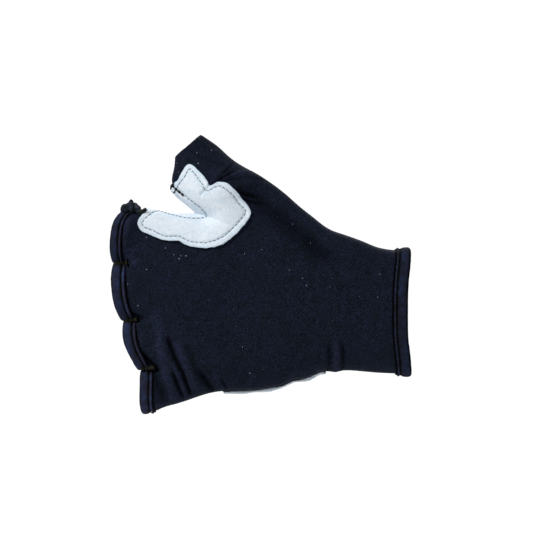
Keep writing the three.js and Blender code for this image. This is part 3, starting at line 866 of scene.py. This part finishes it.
def makeCutter(name, outline):
    loop = softCurve(outline, leather["cutSpacing"])
    bpy.ops.object.select_all(action="DESELECT")
    bpy.ops.mesh.primitive_circle_add(vertices=len(loop), radius=0.02, fill_type="NGON", rotation=(math.pi / 2, 0, 0))
    cutter = bpy.context.object
    cutter.name = name
    bpy.ops.object.transform_apply(location=False, rotation=True, scale=False)
    for vertex in cutter.data.vertices:
        along, height = loop[vertex.index]
        wander = sum(amount * noise.noise(Vector((along, height, seed)) / size)
                     for amount, seed, size in leather["cutWander"])
        vertex.co = spot(along + wander, height + wander, -leather["cutReach"])
    editAll(cutter)
    bpy.ops.mesh.extrude_region_move(TRANSFORM_OT_translate={"value": (0, 2 * leather["cutReach"] * mm, 0)})
    bpy.ops.mesh.select_all(action="SELECT")
    bpy.ops.mesh.normals_make_consistent(inside=False)
    leaveEdit()
    return cutter


def cutLeather(name, spec, onSide, riseAt=None):
    layer = copyOf(smoothSheet, name)
    moveAlongNormals(layer, lambda place, normal: (
        foldRise(place) * leather["foldShare"] * backShare(normal) + leather["clear"] * mm))
    keepFaces(layer, onSide)
    tallest = spec["thickness"]
    wall = {"offset": 1.0, "use_even_offset": False}
    if riseAt:
        tallest += spec["rise"]
        wall["vertex_group"] = "rise"
        group = layer.vertex_groups.new(name="rise")
        for vertex in layer.data.vertices:
            group.add([vertex.index], (spec["thickness"] + riseAt(vertex.co)) / tallest, "REPLACE")
    applyModifier(layer, "SOLIDIFY", thickness=tallest * mm, **wall)
    cutter = makeCutter(name + "Cutter", spec["outline"])
    applyModifier(layer, "BOOLEAN", operation="INTERSECT", object=cutter, solver="EXACT", use_self=True)
    bpy.data.objects.remove(cutter)
    remesh(layer, spec["voxel"])
    editAll(layer, "VERT")
    bpy.ops.mesh.vertices_smooth(factor=0.5, repeat=spec["smooth"])
    leaveEdit()
    return layer


# Where a straight line from the back (-1) or from the palm side (1) meets a surface
def layOn(surface, along, height, fromSide=-1):
    outside = 60  # mm: further out than any part of the glove
    start = spot(along, height, outside * fromSide)
    hit, place, normal = surface.ray_cast(start, Vector((0, -fromSide, 0)))[:3]
    return (place, normal) if hit else None


def lineOn(surface, points, spacing, closed=True, fromSide=-1):
    laid = (layOn(surface, along, height, fromSide) for along, height in softCurve(points, spacing, closed))
    return [met for met in laid if met]


def treeOf(points):
    tree = kdtree.KDTree(len(points))
    for i, point in enumerate(points):
        tree.insert(point, i)
    tree.balance()
    return tree


def seamTree(line):
    return treeOf([point for point, normal in line])


# Falls from the full amount on a line to nothing beside it
def nearLine(tree, place, amount, width):
    return amount * math.exp(-(tree.find(place)[2] / (width * mm)) ** 2)


def dashes(line, dash, gap, size, wobble=0.1):
    places = []
    length = 0.0
    due = 0.0
    for (a, normalA), (b, _) in zip(line, line[1:]):
        length += (b - a).length / mm
        if length >= due and (b - a).length > 0:
            run = (b - a).normalized()
            side = normalA.cross(run)
            lean = side * wavering(wobble) * mm
            turned = run + side * wavering(0.08)
            places.append((a + lean, turned, normalA, dash * random.uniform(0.85, 1.1), *size))
            due = length + (dash + gap)
    return places


# Writes how near each point is to a seam or to the cut edge, for the material, which paints them bluer and darker:
# partly tint, partly painted shade
def markTintAndShade(piece, trees, outline):
    rim = treeOf([spot(along, height) for along, height in softCurve(outline, 0.5)])
    values = piece.data.attributes.new("edgeTintAndShade", "FLOAT", "POINT")
    for vertex in piece.data.vertices:
        flat = Vector((vertex.co.x, 0, vertex.co.z))
        atSeam = max(nearLine(tree, vertex.co, *leather["seamTintAndShade"]) for tree in trees)
        values.data[vertex.index].value = max(nearLine(rim, flat, *leather["rimTintAndShade"]), atSeam)


def sewLine(name, surface, points, spacing, thread, stitch, closed=True, fromSide=-1):
    line = lineOn(surface, points, spacing, closed, fromSide)
    makeStitches(name, dashes(line, **stitch), thread, "suede")


def makeWebPatch():
    patch = cutLeather("webSuede", web, lambda face: face.normal.y < 0)
    seam = seamTree(lineOn(patch, web["topstitch"], 0.35))
    crease = seamTree(lineOn(patch, web["crease"], 0.3, closed=False))
    heavy = seamTree(lineOn(patch, web["heavy"], 0.3, closed=False))

    def rise(place, normal):
        return (uneven(place, web["uneven"]) - nearLine(seam, place, *web["seamDip"])
                - nearLine(crease, place, *web["creaseDip"]) - nearLine(heavy, place, *web["heavyDip"])) * mm

    moveAlongNormals(patch, rise)
    markTintAndShade(patch, (seam, crease), web["outline"])
    finish(patch, suede, "suede", "web_patch")
    sewLine("webTopstitch", patch, web["topstitch"], 0.25, greyThread, leather["topstitch"])
    sewLine("webHeavyStitch", patch, web["heavy"], 0.2, blackThread, web["heavyStitch"], closed=False)
    return patch


webPatch = makeWebPatch()
print("web patch done", len(webPatch.data.polygons))


palm = {
    "thickness": 1.25, "rise": 3.2, "voxel": 0.55, "smooth": 3,
    "centre": (73.7, 1.8), "reach": (40.2, 37.0), "top": 0.6,
    "edgeDip": (0.45, 0.9), "padDip": (0.8, 1.3),
    "uneven": [(0.05, 0.9), (0.1, 3), (0.3, 12)],
    # the lower rim is wavy: height, size, seed, and how far below the middle it starts and is full
    "wave": 0.35, "waveSize": 6, "waveSeed": 5, "waveRun": (24, 32),
    "outline": [
        (105.9, 59.0), (111.2, 54.6), (117.9, 51.0), (121.3, 41.4), (118.6, 26.4), (113.9, 4.4), (107.2, -17.6),
        (99.2, -29.0), (88.4, -33.9), (83.1, -37.0), (81.0, -48.4), (67.0, -48.4), (53.6, -45.8), (44.2, -37.0),
        (38.2, -29.0), (33.5, -17.6), (32.2, 0.0), (36.2, 17.6), (45.6, 31.7), (59.0, 42.2), (75.0, 52.8),
        (91.1, 63.4), (100.5, 66.9),
    ],
    "topstitch": [
        (118.5, 40.0), (115.9, 26.4), (111.3, 5.0), (104.8, -16.4), (97.4, -26.6), (86.0, -30.5), (70.0, -31.5),
        (52.0, -30.0), (41.5, -25.5), (36.2, -16.8), (34.9, 0.0), (38.7, 16.3), (47.5, 29.8), (60.6, 40.0),
        (76.5, 50.5), (91.4, 58.5), (97.0, 55.0), (94.5, 46.5), (102.0, 40.5), (112.0, 42.5),
    ],
    "padStitch": [
        (110.0, 3.0), (99.5, -20.0), (74.0, -31.0), (48.5, -21.0), (38.0, 2.0), (48.0, 24.0), (73.0, 35.5),
        (99.0, 25.0),
    ],
}


def padRise(place):
    a = (-place.x / mm - palm["centre"][0]) / palm["reach"][0]
    h = (place.z / mm - palm["centre"][1]) / palm["reach"][1]
    return palm["rise"] * (1 - smoothStep(math.hypot(a, h), palm["top"], 1.0))


def makePalmPatch():
    patch = cutLeather("palmSuede", palm, lambda face: face.normal.y > 0, padRise)
    edge = seamTree(lineOn(patch, palm["topstitch"], 0.5, fromSide=1))
    pad = seamTree(lineOn(patch, palm["padStitch"], 0.5, fromSide=1))

    def rise(place, normal):
        wave = palm["wave"] * noise.noise(Vector((place.x / (palm["waveSize"] * mm), 0, palm["waveSeed"])))
        return (uneven(place, palm["uneven"]) + wave * smoothOver(-place.z / mm, palm["waveRun"])
                - nearLine(edge, place, *palm["edgeDip"]) - nearLine(pad, place, *palm["padDip"])) * mm

    moveAlongNormals(patch, rise)
    markTintAndShade(patch, (edge, pad), palm["outline"])
    finish(patch, suede, "suede", "palm_patch")
    for name, points in (("palmTopstitch", palm["topstitch"]), ("palmPadStitch", palm["padStitch"])):
        sewLine(name, patch, points, 0.25, greyThread, leather["topstitch"], fromSide=1)
    return patch


palmPatch = makePalmPatch()
print("palm patch done", len(palmPatch.data.polygons))


# Bar tacks: close rows of thread across the fork between two fingers, on both faces

tack = {
    "threads": 17, "threadSize": (0.5, 0.75), "threadLean": 0.22,
    "length": 5.7, "width": 2.2,
    # for each fork: how far in the tack's middle lies, how much higher than the fork, its slope, then how far
    # beyond the fork's bottom its black cord lies, which paints the shadow line round the tack's end, and how long
    # that is
    "forks": [(2.2, 0.0, 0.06, 5.6, 5.0), (2.1, 0.45, 0.15, 5.8, 3.6), (2.3, 1.1, 0.15, 5.85, 3.4)],
    "shadowCordSize": (0.95, 0.8), "shadowCordLean": -0.15,
}


# A row of threads that lies on the highest surface under it
def makeBarTack(name, start, run, across, normal, length, width, surfaces=(), thread=tackThread):
    places = []
    side = 1 if normal.y > 0 else -1
    for i in range(tack["threads"]):
        share = i / (tack["threads"] - 1) - 0.5
        at = start + run * share * length * mm
        below = [layOn(surface, -at.x / mm, at.z / mm + off, side)
                 for surface in surfaces for off in (-0.7, 0.0, 0.7)]
        fronts = [met[0].y * side for met in below if met and met[0].y * side > 0]
        if fronts:
            at.y = side * max(fronts) + side * 0.05 * mm
        lean = tack["threadLean"] if i % 2 else -tack["threadLean"]
        places.append((at, across + run * lean, normal, width * random.uniform(0.92, 1.08), *tack["threadSize"]))
    makeStitches(name, places, thread, "binding")


def forkTacks():
    shadowCords = []
    for i, fork in enumerate(tack["forks"]):
        upper, lower = fingerRings[i], fingerRings[i + 1]
        lowest = min(upper, key=lambda pair: pair[0].z)[0]
        highest = max(lower, key=lambda pair: pair[0].z)[0]
        middle = (lowest + highest) / 2
        surfaces = (bands[fingerNames[i]], bands[fingerNames[i + 1]], knitSheet)
        further, higher, slope, shadowCordAt, shadowCordLength = fork
        height = middle.z + higher * mm
        for face, side in ((-1, "Back"), (1, "Palm")):
            facing = Vector((0, face, 0))
            at = Vector((middle.x + further * mm, face * 6 * mm, height))
            makeBarTack("%sForkTack%s" % (fingerNames[i], side), at, Vector((1, 0, slope)),
                        Vector((-slope, 0, 1)), facing, tack["length"], tack["width"], surfaces)
            # a black cord beyond the tack's end stands in for the shadow line there: painted shadow
            met = layOn(knitSheet, -middle.x / mm - shadowCordAt - 0.3, height / mm + 1.5, face)
            if met:
                turn = Vector((middle.x + shadowCordAt * mm, met[0].y, height))
                shadowCords.append((turn, Vector((tack["shadowCordLean"], 0, 1)), facing, shadowCordLength, *tack["shadowCordSize"]))
    makeStitches("forkShadowCords", shadowCords, forkShadowThread, "binding")


forkTacks()
print("tacks done")


# Bunched tape at the top of the index band: each pleat is the same lobe at its own place and size

tail = {
    "voxel": 0.2,
    # along, height, depth, then length, breadth and height, then lean in degrees
    "pleats": [
        (128.0, 46.0, -1.0, 3.4, 6.0, 5.2, 16), (126.3, 46.4, 0.6, 3.0, 6.8, 5.8, 6),
        (124.7, 46.8, -0.6, 2.6, 6.2, 7.2, -6), (123.1, 46.3, 0.9, 2.9, 6.6, 5.9, -12),
        (121.9, 45.8, -0.9, 2.8, 5.6, 4.8, -22),
    ],
    # its sharp ridges and soft lumps: height and size, less what keeps the whole at its size
    "ridges": (0.28, 1.5), "lumps": [(0.3, 2.6), (0.1, 0.6)], "sink": 0.1,
}


def makeTail():
    bpy.ops.object.select_all(action="DESELECT")
    bpy.ops.mesh.primitive_uv_sphere_add(segments=32, ring_count=24, radius=0.5)
    lobe = bpy.context.object
    lobe.name = "pleat"
    made = []
    for along, height, depth, length, breadth, tall, lean in tail["pleats"]:
        copy = copyOf(lobe, "bunchedTail")
        size = Matrix.Diagonal((length * mm, breadth * mm, tall * mm, 1.0))
        turn = Matrix.Rotation(math.radians(lean), 4, "Y")
        copy.data.transform(Matrix.Translation(spot(along, height, depth)) @ turn @ size)
        made.append(copy)
    bpy.data.objects.remove(lobe)
    piece = joinAll(made)
    remesh(piece, tail["voxel"])

    def crumple(place, normal):
        tall, size = tail["ridges"]
        ridges = 1 - 2 * abs(noise.noise(place / (size * mm)))
        return (tall * ridges + uneven(place, tail["lumps"]) - tail["sink"]) * mm

    moveAlongNormals(piece, crumple)
    finish(piece, tailCloth, "binding", "binding_tail")


makeTail()


# Small things on the surface: the tack at the thumb end of the web seam, and lint on the knit

def makeThumbTack():
    depth = layOn(webPatch, 105.2, 55.6)[0].y / mm - 0.1
    facing = Vector((0, -1, 0))

    # three threads through three points: each piece's length, width and height
    def threeOn(name, points, depth, sizes, thread):
        a, b, c = (spot(along, height, depth) for along, height in points)
        laid = zip((a, b, c), (a - b, a - c, b - c), sizes)
        makeStitches(name, [(at, run, facing, *size) for at, run, size in laid], thread, "suede")

    threeOn("thumbCord", [(106.0, 57.6), (106.7, 56.7), (107.0, 55.7)], depth,
            [(2.0, 1.15, 1.0), (2.2, 1.2, 1.0), (1.8, 0.95, 0.9)], blackThread)
    corner = (spot(106.0, 54.6, depth), Vector((0.5, 0, -0.86)), facing, 3.4, 2.0, 0.9)
    makeStitches("thumbCorner", [corner], suede, "suede")
    threeOn("thumbLoop", [(105.1, 55.1), (105.2, 54.4), (105.7, 53.7)], depth - 0.3,
            [(1.2, 0.5, 0.5), (1.2, 0.5, 0.5), (1.3, 0.9, 0.6)], greyThread)


def makeIndexTack():
    depth = layOn(knitSheet, 120.0, 42.5)[0].y / mm - 0.6
    makeBarTack("indexTack", spot(119.4, 45.3, depth), Vector((0.86, 0.0, 0.5)).normalized(), Vector((-0.5, 0, 0.86)),
                Vector((0, -1, 0)), 3.4, 1.9, thread=blackThread)


lint = {
    "seenSize": 0.42, "fineSize": 0.3, "strewnSize": 0.2,
    "brightFrom": 0.34,  # larger lint than this is white, finer lint is faint
    "strewn": 60, "strewnAlong": (8, 124), "strewnHeight": (-38, 62),
    "seen": [
        (66.2, 27.9), (105.3, 25.7), (102.2, 25.2), (99.9, 25.2), (103.0, 23.9), (117.7, 33.5), (109.1, 28.6),
        (125.8, 12.6), (117.5, 19.1), (121.3, 3.1), (88.9, 72.7), (95.4, 71.5), (94.7, 66.6), (103.7, 62.8),
        (104.4, 67.0), (73.8, 26.1), (54.0, 18.9), (46.4, 12.2), (74.7, -15.3), (71.5, -27.0), (48.1, 15.3),
        (14.0, 17.1),
    ],
    "fine": [
        (13.7, 16.9), (14.9, 7.0), (36.1, 11.3), (35.0, 15.4), (34.8, -3.4), (41.9, -4.1), (18.1, 10.2),
        (23.1, 7.2), (17.1, -12.3), (22.1, -18.1), (44.6, 30.8), (52.0, 19.1), (54.0, 17.0), (77.5, -6.0),
        (72.9, -15.8), (69.3, -28.4), (65.4, -25.3), (49.6, -8.4), (78.8, 1.3), (50.9, 0.0), (113.0, -14.8),
        (109.1, -9.9), (79.3, 29.7), (73.8, 26.0), (65.0, 26.2), (64.7, 33.1), (52.5, 39.3), (44.5, 30.9),
    ],
    "onWristBand": [(5.4, 21.6), (6.3, 20.2)],
}


def makeLint():
    spots = [(along, height, -1, lint["seenSize"]) for along, height in lint["seen"]]
    spots += [(along, height, -1, lint["fineSize"]) for along, height in lint["fine"] + lint["onWristBand"]]
    for i in range(lint["strewn"]):
        spots.append((random.uniform(*lint["strewnAlong"]), random.uniform(*lint["strewnHeight"]),
                      random.choice((-1, 1)), lint["strewnSize"]))
    bright, faint = [], []
    for along, height, fromSide, size in spots:
        if layOn(webPatch, along, height) and fromSide < 0:
            continue
        carrier = bands["wrist"] if (along, height) in lint["onWristBand"] else knitSheet
        met = layOn(carrier, along, height, fromSide)
        if not met:
            continue
        place, normal = met
        size *= random.uniform(0.85, 1.15)
        run = normal.cross(Vector((wavering(1), 0.2, wavering(1)))).normalized()
        laid = (place + normal * 0.05 * mm, run, normal, size * random.uniform(1.0, 1.7), size * 0.75, 0.14)
        (bright if size > lint["brightFrom"] else faint).append(laid)
    makeStitches("lint", bright, lintWhite, "knit")
    makeStitches("fineLint", faint, lintFaint, "knit")


makeThumbTack()
makeIndexTack()
makeLint()
for spare in (smoothSheet, knitSheet):
    bpy.data.objects.remove(spare)
print("small things done")


# Studio: a pale table below the photograph's view, a white room round it and soft light

studio = {
    "camera": (-62.55, -1012.5, 18.9), "lens": 150,
    "middle": (-0.065, 0.0, 0.015),
    "tableHeight": -0.15, "tableRadius": 0.38, "tableThickness": 0.02, "tableColour": (0.9, 0.9, 0.9, 1.0),
    "roomRadius": 4.0, "roomGlow": 1.05,
    "ambient": 0.24, "ambientColour": (0.96, 0.98, 1.0, 1.0),
    # place, size, watts, all aimed at the glove's middle
    "lights": [((-0.75, -0.55, 0.75), 0.4, 10.5), ((0.75, -0.8, 0.35), 0.8, 2.2), ((-0.1, 0.85, 0.6), 0.8, 10.0)],
}


def makeTable():
    thickness = studio["tableThickness"]
    bpy.ops.object.select_all(action="DESELECT")
    bpy.ops.mesh.primitive_cylinder_add(vertices=128, radius=studio["tableRadius"], depth=thickness,
                                        location=(studio["middle"][0], 0, studio["tableHeight"] - thickness / 2))
    table = bpy.context.object
    table.name = "paleTable"
    material, shader = newMaterial("paleTable", 0.9, 0.1)
    shader.inputs["Base Color"].default_value = studio["tableColour"]
    table.data.materials.append(material)
    return table


def makeRoom():
    bpy.ops.mesh.primitive_uv_sphere_add(segments=32, ring_count=16, radius=studio["roomRadius"])
    room = bpy.context.object
    room.name = "whiteRoom"
    material, shader = newMaterial("whiteRoom", 0.5, 0.0)
    shader.inputs["Base Color"].default_value = (0, 0, 0, 1)
    shader.inputs["Emission Color"].default_value = (1, 1, 1, 1)
    shader.inputs["Emission Strength"].default_value = studio["roomGlow"]
    room.data.materials.append(material)
    room.visible_diffuse = False  # it is only looked at: the lights below do the lighting
    room.visible_glossy = False
    room.visible_transmission = False
    room.visible_shadow = False
    return room


def makeStudio():
    scene = bpy.context.scene
    table, room = makeTable(), makeRoom()
    world = bpy.data.worlds.new("softRoom")
    world.use_nodes = True
    background = world.node_tree.nodes["Background"]
    background.inputs["Color"].default_value = studio["ambientColour"]
    background.inputs["Strength"].default_value = studio["ambient"]
    scene.world = world
    for place, size, watts in studio["lights"]:
        bpy.ops.object.light_add(type="AREA", location=place)
        light = bpy.context.object
        light.data.size = size
        light.data.energy = watts
        light.rotation_euler = (Vector(studio["middle"]) - Vector(place)).to_track_quat("-Z", "Y").to_euler()
    bpy.ops.object.camera_add(location=Vector(studio["camera"]) * mm, rotation=(math.pi / 2, 0, 0))
    camera = bpy.context.object
    camera.data.lens = studio["lens"]
    camera.data.clip_start = 0.05
    scene.camera = camera
    scene.view_settings.view_transform = "Standard"


makeStudio()
bpy.context.view_layer.update()
print("studio done")
